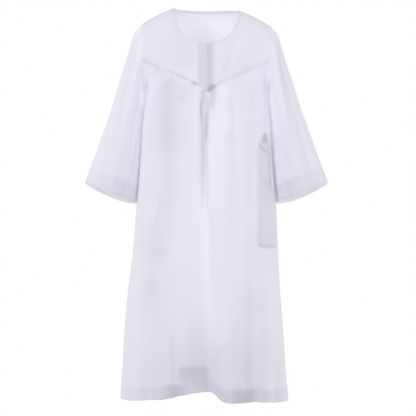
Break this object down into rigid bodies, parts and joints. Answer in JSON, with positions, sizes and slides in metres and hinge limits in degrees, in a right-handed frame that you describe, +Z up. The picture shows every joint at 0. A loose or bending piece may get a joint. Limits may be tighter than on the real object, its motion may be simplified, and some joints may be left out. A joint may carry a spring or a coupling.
{
  "type": "thobe robe",
  "caption": "Long white collarless robe in the pose it takes when worn, with a V front yoke, front closing, tassel, side pockets and long open sleeves.",
  "frame": {"origin": "middle of the neck opening, level with the tops of the shoulders, where the wearer holds the robe up", "axes": "+Z up, the front faces -Y, +X towards the wearer's left"},
  "size_m": [0.8, 0.3315, 1.2967],
  "materials": {
    "body_cloth": "matte, slightly sheer plain weave",
    "yoke_cloth": "matte plain weave, two layers",
    "placket_cloth": "matte plain weave, folded",
    "sleeve_cloth": "matte, slightly sheer plain weave",
    "binding_cloth": "matte bias binding",
    "pocket_cloth": "matte plain weave",
    "tassel_thread": "soft twisted thread"
  },
  "bodies": {
    "root": {"front_panel": "body_cloth", "back_panel": "body_cloth", "front_yoke_left": "yoke_cloth", "front_yoke_right": "yoke_cloth", "placket": "placket_cloth", "placket_underlap": "placket_cloth", "sleeve_left": "sleeve_cloth", "sleeve_right": "sleeve_cloth", "neck_binding": "binding_cloth", "pocket_bag_left": "pocket_cloth", "pocket_bag_right": "pocket_cloth", "tassel": "tassel_thread"}
  },
  "joints": []
}
